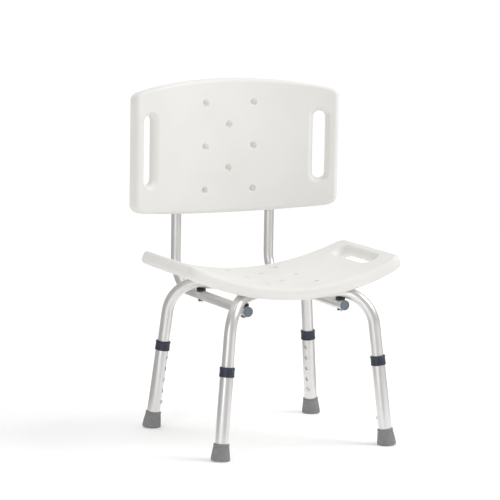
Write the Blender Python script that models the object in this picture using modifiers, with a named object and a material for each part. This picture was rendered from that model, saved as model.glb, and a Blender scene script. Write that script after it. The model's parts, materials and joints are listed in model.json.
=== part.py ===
"""Shower chair: a blow-moulded seat and backrest on an aluminium tube frame.

Two bent tubes cross under the seat and form the four splayed legs. Two smaller tubes run under them
as side rails and rise behind the seat to carry the backrest. Each leg ends in a telescoping lower
tube with a collar, a rubber tip and a sprung snap button. Metres, Z up, the front of the chair faces
-Y, and the origin is on the floor below the middle of the bounding box.
"""

import math

import bmesh
import bpy
from mathutils import Matrix, Vector

# ---- driving dimensions -------------------------------------------------------------------------

FRAME_SHIFT_Y = -0.02975       # moves the middle of the four feet ahead of the origin
GAP = 0.0003                  # clearance between pieces that touch

# legs: where each axis meets the floor, and how far it leans in per metre of height
FOOT_X = 0.2010
FOOT_Y = 0.1770
LEAN_X = 0.104
LEAN_Y = 0.073
LEG_TUBE_RADIUS = 0.0127
LEG_TUBE_WALL = 0.0014
LEG_RUN_HEIGHT = 0.3315       # axis height of the level runs under the seat
LEG_BEND_RADIUS = 0.079
LEG_TUBE_END = 0.044          # lower end of the upper tube, along the leg axis
CROSSING_FLAT = 0.020         # half length of the part pressed flat at the crossing
CROSSING_FADE = 0.038         # where the tube is round again
CROSSING_SQUASH = 0.47
CROSSING_SPREAD = 1.28

# telescoping lower tubes, collars and tips, along the leg axis
LOWER_TUBE_RADIUS = 0.0143
LOWER_TUBE_BORE = 0.0130
LOWER_TUBE_BOTTOM = 0.0078
LOWER_TUBE_TOP = 0.1842
HOLE_RADIUS = 0.0041
HOLE_PITCH = 0.0254
HOLE_COUNT = 5
BUTTON_HEIGHT = 0.060
COLLAR_BOTTOM = 0.1770
COLLAR_TOP = 0.1980
TIP_TOP = 0.0362
TIP_BOTTOM = 0.0008

# rails and back tubes
RAIL_X = 0.1164
RAIL_HEIGHT = 0.3044
RAIL_RADIUS = 0.0111
RAIL_WALL = 0.0012
RAIL_FRONT = -0.1268
RAIL_BEND_RADIUS = 0.070
BACK_TUBE_Y = 0.2425
BACK_TUBE_TOP = 0.668
BACK_SCREW_HEIGHTS = (0.540, 0.640)

# moulded panels
PANEL_BEND_RADIUS = 0.570     # radius of the sitting surface and of the front of the backrest
PANEL_HALF_ARC = 0.2565
PANEL_THICKNESS = 0.028
PANEL_EDGE = 0.0095
PANEL_WALL = 0.003
PANEL_HALF_SPAN = 0.1515      # from the middle of the hand holds to each long edge
PANEL_CORNER = 0.028
PANEL_HIGH_ARCH = 1.25        # outline radius of the top of the backrest and the back of the seat
PANEL_LOW_ARCH = 2.15         # outline radius of the opposite long edge
SEAT_CENTRE_Y = 0.0010
SEAT_TOP = 0.3535
BACK_CENTRE_Z = 0.6185
BACK_FRONT_Y = 0.2187
SLOT_AT = 0.2133
SLOT_HALF_LENGTH = 0.0775
SLOT_HALF_WIDTH = 0.0136
SLOT_FLARE = 0.0105           # how much wider a hand hold is on each side where it meets a face
DIMPLE_COLUMN = 0.0595
DIMPLE_PITCH = 0.049
DIMPLE_RADIUS = 0.0078
DIMPLE_TIP = 0.0035
DIMPLE_DEPTH = 0.0085

# fixings
BOLT_RADIUS = 0.0030
BOLT_HOLE = 0.0034
BOLT_TOP = 0.3560
SCREW_RADIUS = 0.0022
SCREW_HOLE = 0.0026
SCREW_TIP_Y = 0.2240

LEGS = {
    "front_left": (-1, -1),
    "front_right": (1, -1),
    "rear_left": (-1, 1),
    "rear_right": (1, 1),
}

# ---- scene --------------------------------------------------------------------------------------

for old in list(bpy.data.objects):
    bpy.data.objects.remove(old, do_unlink=True)


def new_collection(name):
    made = bpy.data.collections.new(name)
    bpy.context.scene.collection.children.link(made)
    return made


PARTS = new_collection("shower_chair")
CUTTERS = new_collection("cutters")


def new_material(name, color, roughness, metallic=0.0):
    made = bpy.data.materials.new(name)
    made.use_nodes = True
    shader = made.node_tree.nodes["Principled BSDF"]
    shader.inputs["Base Color"].default_value = (*color, 1.0)
    shader.inputs["Roughness"].default_value = roughness
    shader.inputs["Metallic"].default_value = metallic
    return made


WHITE_PLASTIC = ((0.80, 0.80, 0.77), 0.45, 0.0)
ALUMINIUM = ((0.72, 0.72, 0.70), 0.35, 1.0)
STEEL = ((0.60, 0.60, 0.60), 0.25, 1.0)
DARK_PLASTIC = ((0.045, 0.05, 0.075), 0.45, 0.0)
CAP_PLASTIC = ((0.16, 0.19, 0.24), 0.5, 0.0)
BLACK_PLASTIC = ((0.01, 0.01, 0.01), 0.5, 0.0)
RUBBER = ((0.17, 0.17, 0.175), 0.8, 0.0)


def add_object(name, mesh, look=None, matrix=None):
    """Links a mesh as a finished part (with a look) or as a hidden cutter (without one)."""
    made = bpy.data.objects.new(name, mesh)
    if matrix is not None:
        made.matrix_world = matrix
    if look is None:
        CUTTERS.objects.link(made)
        made.hide_render = True
        made.display_type = "WIRE"
    else:
        PARTS.objects.link(made)
        mesh.materials.clear()
        mesh.materials.append(new_material(name + "_material", *look))
        for face in mesh.polygons:
            face.use_smooth = True
        mesh.set_sharp_from_angle(angle=math.radians(35))
    return made


def cut(target, cutter):
    modifier = target.modifiers.new("cut_" + cutter.name, "BOOLEAN")
    modifier.operation = "DIFFERENCE"
    modifier.solver = "EXACT"
    modifier.object = cutter


# ---- mesh helpers -------------------------------------------------------------------------------

def finish_mesh(name, bm):
    bmesh.ops.recalc_face_normals(bm, faces=bm.faces)
    mesh = bpy.data.meshes.new(name)
    bm.to_mesh(mesh)
    bm.free()
    return mesh


def loft(bm, rings):
    """Closed body through rings of equal length, with flat ends."""
    loops = [[bm.verts.new(point) for point in ring] for ring in rings]
    for low, high in zip(loops, loops[1:]):
        for k in range(len(low)):
            n = (k + 1) % len(low)
            bm.faces.new((low[k], low[n], high[n], high[k]))
    bm.faces.new(list(reversed(loops[0])))
    bm.faces.new(loops[-1])


def circle(radius, sides, height=0.0, middle=(0.0, 0.0)):
    ring = []
    for k in range(sides):
        turn = 2 * math.pi * k / sides
        ring.append((middle[0] + radius * math.cos(turn), middle[1] + radius * math.sin(turn), height))
    return ring


def cylinder_between(bm, start, end, radius, sides=16):
    """Closed cylinder from start to end."""
    start = Vector(start)
    along = Vector(end) - start
    turn = along.to_track_quat("Z", "Y")
    rings = []
    for height in (0.0, along.length):
        rings.append([start + turn @ Vector(point) for point in circle(radius, sides, height)])
    loft(bm, rings)


def turned(name, profile, sides, look, matrix):
    """Solid or ring turned about local Z from (radius, height) points."""
    area = 0.0
    for (r0, h0), (r1, h1) in zip(profile, profile[1:] + profile[:1]):
        area += r0 * h1 - r1 * h0
    if area > 0:
        profile = list(reversed(profile))
    bm = bmesh.new()
    points = [bm.verts.new((radius, 0.0, height)) for radius, height in profile]
    for a, b in zip(points, points[1:]):
        bm.edges.new((a, b))
    if profile[0][0] > 0 or profile[-1][0] > 0:
        bm.edges.new((points[-1], points[0]))
    mesh = bpy.data.meshes.new(name)
    bm.to_mesh(mesh)
    bm.free()
    made = add_object(name, mesh, look, matrix)
    screw = made.modifiers.new("turn", "SCREW")
    screw.steps = sides
    screw.render_steps = sides
    screw.use_merge_vertices = True
    screw.merge_threshold = 0.00001
    screw.use_smooth_shade = True
    return made


def tube_from_path(name, points, radius, sides_step, capped=False):
    """Skin of a tube along a path as a mesh, with open ends unless it is capped."""
    curve = bpy.data.curves.new(name + "_path", "CURVE")
    curve.dimensions = "3D"
    curve.bevel_depth = radius
    curve.bevel_resolution = sides_step
    curve.twist_mode = "MINIMUM"
    curve.use_fill_caps = capped
    spline = curve.splines.new("POLY")
    spline.points.add(len(points) - 1)
    for point, place in zip(spline.points, points):
        point.co = (*place, 1.0)
    drawn = bpy.data.objects.new(name + "_path", curve)
    bpy.context.scene.collection.objects.link(drawn)
    bpy.context.view_layer.update()
    seen = drawn.evaluated_get(bpy.context.evaluated_depsgraph_get())
    mesh = bpy.data.meshes.new_from_object(seen)
    bpy.data.objects.remove(drawn, do_unlink=True)
    bpy.data.curves.remove(curve)
    bm = bmesh.new()
    bm.from_mesh(mesh)
    bmesh.ops.remove_doubles(bm, verts=bm.verts, dist=0.00001)
    bmesh.ops.recalc_face_normals(bm, faces=bm.faces)
    bm.to_mesh(mesh)
    bm.free()
    mesh.name = name
    return mesh


def make_hollow(tube, wall):
    modifier = tube.modifiers.new("wall", "SOLIDIFY")
    modifier.thickness = wall
    modifier.offset = -1.0
    modifier.use_even_offset = True
    modifier.use_rim = True


def rounded_corner(before, corner, after, radius, steps):
    """Points of an arc of the given radius that joins two straight runs at a corner."""
    back = (before - corner).normalized()
    on = (after - corner).normalized()
    half = back.angle(on) / 2
    reach = radius / math.tan(half)
    middle = corner + (back + on).normalized() * (radius / math.sin(half))
    first = corner + back * reach - middle
    last = corner + on * reach - middle
    sweep = first.angle(last)
    arc = []
    for k in range(steps + 1):
        t = k / steps
        blend = first * math.sin((1 - t) * sweep) + last * math.sin(t * sweep)
        arc.append(middle + blend / math.sin(sweep))
    return arc


# ---- legs: shared geometry ----------------------------------------------------------------------

def leg_axis_point(side, height):
    sx, sy = side
    return Vector((sx * (FOOT_X - LEAN_X * height), sy * (FOOT_Y - LEAN_Y * height), height))


def leg_matrix(side):
    """Local Z climbs the leg axis from the floor, local X points at the middle of the chair."""
    foot = leg_axis_point(side, 0.0)
    up = (leg_axis_point(side, 1.0) - foot).normalized()
    inward = -foot
    inward = (inward - up * inward.dot(up)).normalized()
    sideways = up.cross(inward)
    turn = Matrix((inward, sideways, up)).transposed()
    return Matrix.Translation(foot) @ turn.to_4x4()


def along_leg(side, distance):
    return leg_matrix(side) @ Vector((0.0, 0.0, distance))


RUN_CORNER = leg_axis_point((1, 1), LEG_RUN_HEIGHT)
BOLT_Y = RAIL_X * RUN_CORNER.y / RUN_CORNER.x


# ---- moulded panels -----------------------------------------------------------------------------

def arched(u, v):
    """Draws the long edges in towards the ends; the hand holds and dimples stay in place."""
    arch = PANEL_HIGH_ARCH if v > 0 else PANEL_LOW_ARCH
    share = math.copysign((v / PANEL_HALF_SPAN) ** 4, v)
    return v - share * u * u / (2 * arch)


def seat_place(u, v, depth):
    """Arc length across, distance back, depth under the sitting surface."""
    turn = u / PANEL_BEND_RADIUS
    reach = PANEL_BEND_RADIUS + depth
    height = SEAT_TOP + PANEL_BEND_RADIUS - reach * math.cos(turn)
    return (reach * math.sin(turn), SEAT_CENTRE_Y + arched(u, v), height)


def back_place(u, v, depth):
    """Arc length across, distance up, depth behind the front face."""
    turn = u / PANEL_BEND_RADIUS
    reach = PANEL_BEND_RADIUS + depth
    distance = BACK_FRONT_Y - PANEL_BEND_RADIUS + reach * math.cos(turn)
    return (reach * math.sin(turn), distance, BACK_CENTRE_Z + arched(u, v))


def panel_outline(inset):
    """Upper half of a rounded rectangle from right to left, as (u, v) with v > 0."""
    corner_steps = 4
    run_steps = 13
    radius = PANEL_CORNER - inset
    cu = PANEL_HALF_ARC - PANEL_CORNER
    cv = PANEL_HALF_SPAN - PANEL_CORNER
    points = []
    for k in range(corner_steps + 1):
        turn = 0.5 * math.pi * k / corner_steps
        points.append((cu + radius * math.cos(turn), cv + radius * math.sin(turn)))
    for k in range(1, run_steps):
        points.append((cu - 2 * cu * k / run_steps, cv + radius))
    for u, v in reversed(points[: corner_steps + 1]):
        points.append((-u, v))
    return points


def panel_mesh(name, place, inset, edge, edge_steps):
    """Slab with rounded edges, bent to the panel radius; inset shrinks it on every side."""
    bm = bmesh.new()
    levels = []
    for k in range(edge_steps + 1):
        turn = 0.5 * math.pi * k / edge_steps
        levels.append((edge * (1 - math.sin(turn)), inset + edge * (1 - math.cos(turn))))
    for k in range(edge_steps + 1):
        turn = 0.5 * math.pi * k / edge_steps
        levels.append((edge * (1 - math.cos(turn)), PANEL_THICKNESS - inset - edge * (1 - math.sin(turn))))
    rings = []
    for shrink, depth in levels:
        half = panel_outline(inset + shrink)
        upper = [bm.verts.new(place(u, v, depth)) for u, v in half]
        lower = [bm.verts.new(place(u, -v, depth)) for u, v in half]
        rings.append((upper, lower))
    loops = [upper + list(reversed(lower)) for upper, lower in rings]
    for near, far in zip(loops, loops[1:]):
        for k in range(len(near)):
            n = (k + 1) % len(near)
            bm.faces.new((near[k], near[n], far[n], far[k]))
    for upper, lower in (rings[0], rings[-1]):
        for k in range(len(upper) - 1):
            bm.faces.new((upper[k], upper[k + 1], lower[k + 1], lower[k]))
    return finish_mesh(name, bm)


def slot_ring(half_length, half_width, middle):
    """Stadium outline round (u, v), long in v."""
    steps = 5
    straight = half_length - half_width
    ring = []
    for end in (1, -1):
        for k in range(steps + 1):
            turn = math.pi * k / steps
            u = middle + end * half_width * math.cos(turn)
            v = end * (straight + half_width * math.sin(turn))
            ring.append((u, v))
    return ring


def slots_mesh(name, place, grow):
    """Both hand holds, flared towards each face."""
    levels = [(-0.002, SLOT_FLARE + 0.0030), (0.0, SLOT_FLARE), (0.0025, 0.66 * SLOT_FLARE), (0.0095, 0.0)]
    levels += [(PANEL_THICKNESS - depth, wider) for depth, wider in reversed(levels)]
    bm = bmesh.new()
    for middle in (-SLOT_AT, SLOT_AT):
        rings = []
        for depth, wider in levels:
            extra = wider + grow
            ring = slot_ring(SLOT_HALF_LENGTH + extra, SLOT_HALF_WIDTH + extra, middle)
            rings.append([place(u, v, depth) for u, v in ring])
        loft(bm, rings)
    return finish_mesh(name, bm)


def dimple_places():
    for row in range(-2, 3):
        if row % 2 == 0:
            yield (-DIMPLE_COLUMN, row * DIMPLE_PITCH)
            yield (DIMPLE_COLUMN, row * DIMPLE_PITCH)
        else:
            yield (0.0, row * DIMPLE_PITCH)


def dimples_mesh(name, place, grow, levels, sides):
    """The eight conical tack-offs, as (depth, radius) levels."""
    bm = bmesh.new()
    for u0, v0 in dimple_places():
        rings = []
        for depth, radius in levels:
            ring = circle(radius + grow, sides, depth, (u0, v0))
            rings.append([place(u, v, low) for u, v, low in ring])
        loft(bm, rings)
    return finish_mesh(name, bm)


DIMPLE_LEVELS = [(-0.001, DIMPLE_RADIUS + 0.0003), (0.0, DIMPLE_RADIUS), (DIMPLE_DEPTH, DIMPLE_TIP)]
POST_LEVELS = [(0.001, DIMPLE_RADIUS), (PANEL_THICKNESS - 0.001, DIMPLE_TIP)]


def moulded_panel(name, place):
    """Outer body, its cavity, and the cutters that both share."""
    body = add_object(name, panel_mesh(name, place, 0.0, PANEL_EDGE, 3), WHITE_PLASTIC)
    cavity_mesh = panel_mesh(name + "_cavity", place, PANEL_WALL, PANEL_EDGE - PANEL_WALL, 2)
    cavity = add_object(name + "_cavity", cavity_mesh)
    cut(cavity, add_object(name + "_slot_walls", slots_mesh(name + "_slot_walls", place, PANEL_WALL)))
    posts = dimples_mesh(name + "_posts", place, PANEL_WALL, POST_LEVELS, 6)
    cut(cavity, add_object(name + "_posts", posts))
    cut(body, cavity)
    cut(body, add_object(name + "_slots", slots_mesh(name + "_slots", place, 0.0)))
    cones = dimples_mesh(name + "_dimples", place, 0.0, DIMPLE_LEVELS, 10)
    cut(body, add_object(name + "_dimples", cones))
    return body, cavity


def channel_mesh(name, direction, grow):
    """Inverted U channel that takes one level leg run, open below."""
    radius = LEG_TUBE_RADIUS + GAP + grow
    along = Vector((direction[0], direction[1], 0.0)).normalized()
    across = Vector((-along.y, along.x, 0.0))
    outline = [(radius, -0.030), (radius, 0.0)]
    for k in range(1, 8):
        turn = math.pi * k / 8
        outline.append((radius * math.cos(turn), radius * math.sin(turn)))
    outline.append((-radius, 0.0))
    outline.append((-radius, -0.030))
    bm = bmesh.new()
    rings = []
    for reach in (-0.230, 0.230):
        ring = []
        for side, rise in outline:
            ring.append(along * reach + across * side + Vector((0.0, 0.0, LEG_RUN_HEIGHT + rise)))
        rings.append(ring)
    loft(bm, rings)
    return finish_mesh(name, bm)


def posts_mesh(name, places, start, end, radius, sides, axis):
    """Cylinders along Z or Y through a list of (a, b) places."""
    bm = bmesh.new()
    for a, b in places:
        if axis == "Z":
            cylinder_between(bm, (a, b, start), (a, b, end), radius, sides)
        else:
            cylinder_between(bm, (a, start, b), (a, end, b), radius, sides)
    return finish_mesh(name, bm)


BOLT_PLACES = [(sx * RAIL_X, sy * BOLT_Y) for sx, sy in LEGS.values()]
SCREW_PLACES = [(sx * RAIL_X, height) for sx in (-1, 1) for height in BACK_SCREW_HEIGHTS]
DIAGONAL_A = (RUN_CORNER.x, RUN_CORNER.y)
DIAGONAL_B = (RUN_CORNER.x, -RUN_CORNER.y)
POCKET_RADIUS = 0.0410
POCKET_TOP = LEG_RUN_HEIGHT + LEG_TUBE_RADIUS + 0.0030


def build_seat():
    seat, cavity = moulded_panel("seat", seat_place)
    for label, diagonal in (("a", DIAGONAL_A), ("b", DIAGONAL_B)):
        walls = "seat_channel_walls_" + label
        channel = "seat_channel_" + label
        cut(cavity, add_object(walls, channel_mesh(walls, diagonal, PANEL_WALL)))
        cut(seat, add_object(channel, channel_mesh(channel, diagonal, 0.0)))
    middle = [(0.0, 0.0)]
    bosses = posts_mesh("seat_bosses", BOLT_PLACES, 0.320, 0.360, 0.0075, 8, "Z")
    cut(cavity, add_object("seat_bosses", bosses))
    pocket_wall = posts_mesh("seat_pocket_wall", middle, 0.300, 0.360, POCKET_RADIUS + 0.003, 16, "Z")
    cut(cavity, add_object("seat_pocket_wall", pocket_wall))
    pocket = posts_mesh("seat_pocket", middle, 0.300, POCKET_TOP, POCKET_RADIUS, 16, "Z")
    cut(seat, add_object("seat_pocket", pocket))
    holes = posts_mesh("seat_bolt_holes", BOLT_PLACES, 0.330, BOLT_TOP + 0.001, BOLT_HOLE, 8, "Z")
    cut(seat, add_object("seat_bolt_holes", holes))
    vent = posts_mesh("seat_blow_hole", [(0.0, SEAT_CENTRE_Y - 0.075)], 0.310, 0.335, 0.003, 12, "Z")
    cut(seat, add_object("seat_blow_hole", vent))
    weld = seat.modifiers.new("weld", "WELD")
    weld.merge_threshold = 0.00001


def build_backrest():
    back, cavity = moulded_panel("backrest", back_place)
    columns = [(-RAIL_X, BACK_TUBE_Y), (RAIL_X, BACK_TUBE_Y)]
    low = 0.40
    high = BACK_TUBE_TOP + 0.001
    walls = posts_mesh("backrest_groove_walls", columns, low, high + PANEL_WALL, RAIL_RADIUS + 0.0033, 24, "Z")
    cut(cavity, add_object("backrest_groove_walls", walls))
    bosses = posts_mesh("backrest_bosses", SCREW_PLACES, 0.200, 0.250, 0.0065, 8, "Y")
    cut(cavity, add_object("backrest_bosses", bosses))
    grooves = posts_mesh("backrest_grooves", columns, low, high, RAIL_RADIUS + GAP, 24, "Z")
    cut(back, add_object("backrest_grooves", grooves))
    holes = posts_mesh("backrest_screw_holes", SCREW_PLACES, SCREW_TIP_Y - 0.001, 0.250, SCREW_HOLE, 8, "Y")
    cut(back, add_object("backrest_screw_holes", holes))
    vent = posts_mesh("backrest_blow_hole", [(0.030, 0.500)], 0.236, 0.260, 0.003, 12, "Y")
    cut(back, add_object("backrest_blow_hole", vent))


# ---- leg frame ----------------------------------------------------------------------------------

def press_crossing(mesh, direction, keep_top):
    """Presses the middle of a leg tube flat, so the two tubes lap at the crossing."""
    along = Vector((direction[0], direction[1], 0.0)).normalized()
    across = Vector((-along.y, along.x, 0.0))
    kept = LEG_RUN_HEIGHT + (LEG_TUBE_RADIUS if keep_top else -LEG_TUBE_RADIUS)
    for vertex in mesh.vertices:
        if vertex.co.z < LEG_RUN_HEIGHT - 2 * LEG_TUBE_RADIUS:
            continue
        reach = abs(vertex.co.dot(along))
        t = (CROSSING_FADE - reach) / (CROSSING_FADE - CROSSING_FLAT)
        t = min(max(t, 0.0), 1.0)
        press = t * t * (3 - 2 * t)
        scale = 1 + (CROSSING_SQUASH - 1) * press
        vertex.co.z = kept + (vertex.co.z - kept) * scale
        spread = (CROSSING_SPREAD - 1) * press
        vertex.co += across * vertex.co.dot(across) * spread


def leg_tube_path(first, second):
    corner_a = leg_axis_point(first, LEG_RUN_HEIGHT)
    corner_b = leg_axis_point(second, LEG_RUN_HEIGHT)
    end_a = along_leg(first, LEG_TUBE_END)
    end_b = along_leg(second, LEG_TUBE_END)
    points = [end_a]
    points += rounded_corner(end_a, corner_a, corner_b, LEG_BEND_RADIUS, 7)
    along = (corner_b - corner_a).normalized()
    middle = Vector((0.0, 0.0, LEG_RUN_HEIGHT))
    for reach in (-CROSSING_FADE, -0.029, -CROSSING_FLAT, CROSSING_FLAT, 0.029, CROSSING_FADE):
        points.append(middle + along * reach)
    points += rounded_corner(corner_a, corner_b, end_b, LEG_BEND_RADIUS, 7)
    points.append(end_b)
    return points


def build_leg_tube(name, first, second, keep_top):
    mesh = tube_from_path(name, leg_tube_path(first, second), LEG_TUBE_RADIUS, 5)
    direction = leg_axis_point(second, LEG_RUN_HEIGHT) - leg_axis_point(first, LEG_RUN_HEIGHT)
    press_crossing(mesh, direction, keep_top)
    tube = add_object(name, mesh, ALUMINIUM)
    make_hollow(tube, LEG_TUBE_WALL)
    bm = bmesh.new()
    for side in (first, second):
        place = leg_matrix(side)
        start = place @ Vector((0.0, 0.0, BUTTON_HEIGHT))
        end = place @ Vector((0.020, 0.0, BUTTON_HEIGHT))
        cylinder_between(bm, start, end, 0.0040, 10)
        x, y = side[0] * RAIL_X, side[1] * BOLT_Y
        cylinder_between(bm, (x, y, 0.310), (x, y, 0.350), BOLT_HOLE, 8)
    cylinder_between(bm, (0.0, 0.0, 0.310), (0.0, 0.0, 0.350), BOLT_HOLE, 8)
    cut(tube, add_object(name + "_holes", finish_mesh(name + "_holes", bm)))
    bed_name = name + "_bed"
    bed = tube_from_path(bed_name, leg_tube_path(first, second), LEG_TUBE_RADIUS + GAP, 8, True)
    return add_object(bed_name, bed)


def build_crossing_rivet():
    low = LEG_RUN_HEIGHT - LEG_TUBE_RADIUS - GAP
    high = LEG_RUN_HEIGHT + LEG_TUBE_RADIUS + GAP
    profile = [(0.0, low - 0.0022), (0.0042, low - 0.0018), (0.0060, low), (BOLT_RADIUS, low)]
    profile += [(BOLT_RADIUS, high), (0.0060, high), (0.0042, high + 0.0018), (0.0, high + 0.0022)]
    turned("crossing_rivet", profile, 12, STEEL, Matrix.Identity(4))


# ---- telescoping legs ---------------------------------------------------------------------------

def build_lower_leg(label, side):
    place = leg_matrix(side)
    profile = [
        (LOWER_TUBE_BORE, LOWER_TUBE_BOTTOM),
        (LOWER_TUBE_RADIUS, LOWER_TUBE_BOTTOM),
        (LOWER_TUBE_RADIUS, LOWER_TUBE_TOP),
        (LOWER_TUBE_BORE, LOWER_TUBE_TOP),
    ]
    tube = turned("lower_leg_" + label, profile, 18, ALUMINIUM, place)
    bm = bmesh.new()
    for k in range(HOLE_COUNT):
        height = BUTTON_HEIGHT + k * HOLE_PITCH
        cylinder_between(bm, (0.008, 0.0, height), (0.020, 0.0, height), HOLE_RADIUS, 10)
    holes = finish_mesh("lower_leg_holes_" + label, bm)
    cut(tube, add_object("lower_leg_holes_" + label, holes, None, place))


def build_collar(label, side):
    bore = LEG_TUBE_RADIUS + 0.00035
    seat = LOWER_TUBE_RADIUS + GAP
    step = LOWER_TUBE_TOP + GAP
    profile = [
        (bore, step),
        (seat, step),
        (seat, COLLAR_BOTTOM),
        (0.0158, COLLAR_BOTTOM),
        (0.0165, COLLAR_BOTTOM + 0.0012),
        (0.0160, COLLAR_BOTTOM + 0.0045),
        (0.0160, COLLAR_TOP - 0.0050),
        (0.0165, COLLAR_TOP - 0.0012),
        (0.0157, COLLAR_TOP),
        (bore, COLLAR_TOP),
    ]
    turned("collar_" + label, profile, 16, DARK_PLASTIC, leg_matrix(side))


def build_tip(label, side, floor):
    socket = LOWER_TUBE_RADIUS + GAP
    base = LOWER_TUBE_BOTTOM - GAP
    profile = [
        (0.0, TIP_BOTTOM - 0.0005),
        (0.0198, TIP_BOTTOM - 0.0005),
        (0.0208, TIP_BOTTOM + 0.0014),
        (0.0203, TIP_BOTTOM + 0.0075),
        (0.0172, TIP_TOP - 0.0065),
        (0.0171, TIP_TOP - 0.0012),
        (0.0164, TIP_TOP),
        (socket, TIP_TOP),
        (socket, base),
        (0.0, base),
    ]
    tip = turned("rubber_tip_" + label, profile, 20, RUBBER, leg_matrix(side))
    cut(tip, floor)


def build_snap_button(label, side):
    """Flanged pin with a domed end; its origin is on the line it travels along."""
    place = leg_matrix(side) @ Matrix.Translation((0.0, 0.0, BUTTON_HEIGHT))
    outward = place @ Matrix.Rotation(math.radians(90), 4, "Y")
    profile = [
        (0.0, 0.0092),
        (0.0047, 0.0092),
        (0.0047, 0.0099),
        (0.0036, 0.0099),
        (0.0036, 0.0160),
        (0.0029, 0.0172),
        (0.0016, 0.0178),
        (0.0, 0.0180),
    ]
    turned("snap_button_" + label, profile, 12, STEEL, outward)


def build_snap_spring(label, side):
    """Folded strip that presses the button outward from inside the upper tube."""
    place = leg_matrix(side) @ Matrix.Translation((0.0, 0.0, BUTTON_HEIGHT))
    line = [(0.0085, -0.007), (0.0085, 0.007), (0.0030, 0.034), (0.0012, 0.0385)]
    line += [(-0.0012, 0.0385), (-0.0030, 0.034), (-0.0095, 0.002), (-0.0095, -0.006)]
    bm = bmesh.new()
    rows = []
    for x, z in line:
        rows.append((bm.verts.new((x, -0.0035, z)), bm.verts.new((x, 0.0035, z))))
    for (a, b), (c, d) in zip(rows, rows[1:]):
        bm.faces.new((a, b, d, c))
    strip = add_object("snap_spring_" + label, finish_mesh("snap_spring_" + label, bm), STEEL, place)
    sheet = strip.modifiers.new("sheet", "SOLIDIFY")
    sheet.thickness = 0.0005
    sheet.offset = 0.0
    sheet.use_even_offset = True


# ---- rails and back tubes -----------------------------------------------------------------------

def build_back_tube(label, sx):
    x = sx * RAIL_X
    front = Vector((x, RAIL_FRONT, RAIL_HEIGHT))
    corner = Vector((x, BACK_TUBE_Y, RAIL_HEIGHT))
    top = Vector((x, BACK_TUBE_Y, BACK_TUBE_TOP))
    points = [front] + rounded_corner(front, corner, top, RAIL_BEND_RADIUS, 7) + [top]
    name = "back_tube_" + label
    tube = add_object(name, tube_from_path(name, points, RAIL_RADIUS, 5), ALUMINIUM)
    make_hollow(tube, RAIL_WALL)
    bm = bmesh.new()
    for sy in (-1, 1):
        cylinder_between(bm, (x, sy * BOLT_Y, 0.285), (x, sy * BOLT_Y, 0.325), BOLT_HOLE, 8)
    for height in BACK_SCREW_HEIGHTS:
        cylinder_between(bm, (x, 0.225, height), (x, 0.260, height), SCREW_HOLE, 8)
    cut(tube, add_object(name + "_holes", finish_mesh(name + "_holes", bm)))


def build_rail_cap(label, sx):
    """Push-in end plug of a rail, turned about the rail axis."""
    turn = Matrix.Rotation(math.radians(90), 4, "X")
    place = Matrix.Translation((sx * RAIL_X, RAIL_FRONT, RAIL_HEIGHT)) @ turn
    bore = RAIL_RADIUS - RAIL_WALL - GAP
    profile = [
        (0.0, 0.0029),
        (0.0070, 0.0028),
        (0.0103, 0.0023),
        (0.0112, 0.0013),
        (0.0112, GAP),
        (bore, GAP),
        (bore, -0.0110),
        (bore - 0.0016, -0.0110),
        (bore - 0.0016, 0.0),
        (0.0, 0.0),
    ]
    turned("rail_cap_" + label, profile, 16, CAP_PLASTIC, place)


def build_saddle(label, side, bed):
    """Spacer that hugs the rail below and the leg run above it."""
    x, y = side[0] * RAIL_X, side[1] * BOLT_Y
    name = "saddle_" + label
    bm = bmesh.new()
    cylinder_between(bm, (x, y, 0.3138), (x, y, 0.3192), 0.0105, 20)
    saddle = add_object(name, finish_mesh(name, bm), BLACK_PLASTIC)
    cut(saddle, bed)
    bm = bmesh.new()
    start = (x, y - 0.020, RAIL_HEIGHT)
    end = (x, y + 0.020, RAIL_HEIGHT)
    cylinder_between(bm, start, end, RAIL_RADIUS + GAP, 24)
    cut(saddle, add_object(name + "_rail_bed", finish_mesh(name + "_rail_bed", bm)))
    bm = bmesh.new()
    cylinder_between(bm, (x, y, 0.305), (x, y, 0.330), BOLT_HOLE, 12)
    cut(saddle, add_object(name + "_hole", finish_mesh(name + "_hole", bm)))


def build_fixings(label, side):
    x, y = side[0] * RAIL_X, side[1] * BOLT_Y
    under = RAIL_HEIGHT - RAIL_RADIUS - GAP
    ring = [(BOLT_HOLE, under - 0.0014), (0.0072, under - 0.0014), (0.0074, under), (BOLT_HOLE, under)]
    turned("bolt_washer_" + label, ring, 16, BLACK_PLASTIC, Matrix.Translation((x, y, 0.0)))
    head_top = under - 0.0014 - GAP
    shape = [
        (0.0046, head_top - 0.0036),
        (0.0052, head_top - 0.0030),
        (0.0052, head_top),
        (BOLT_RADIUS, head_top),
        (BOLT_RADIUS, BOLT_TOP),
    ]
    bm = bmesh.new()
    loft(bm, [circle(radius, 12, height) for radius, height in shape])
    name = "seat_bolt_" + label
    add_object(name, finish_mesh(name, bm), STEEL, Matrix.Translation((x, y, 0.0)))


def build_back_screw(label, sx, height):
    """Pan head screw from behind, through the back tube into the backrest."""
    face = BACK_TUBE_Y + RAIL_RADIUS + GAP
    turn = Matrix.Rotation(math.radians(-90), 4, "X")
    place = Matrix.Translation((sx * RAIL_X, 0.0, height)) @ turn
    profile = [
        (0.0, SCREW_TIP_Y),
        (0.0012, SCREW_TIP_Y),
        (SCREW_RADIUS, SCREW_TIP_Y + 0.0018),
        (SCREW_RADIUS, face),
        (0.0048, face),
        (0.0046, face + 0.0018),
        (0.0030, face + 0.0029),
        (0.0, face + 0.0031),
    ]
    turned("back_screw_" + label, profile, 12, STEEL, place)


# ---- build --------------------------------------------------------------------------------------

build_seat()
build_backrest()
upper_bed = build_leg_tube("leg_tube_upper", LEGS["front_left"], LEGS["rear_right"], True)
lower_bed = build_leg_tube("leg_tube_lower", LEGS["front_right"], LEGS["rear_left"], False)
build_crossing_rivet()

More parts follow.
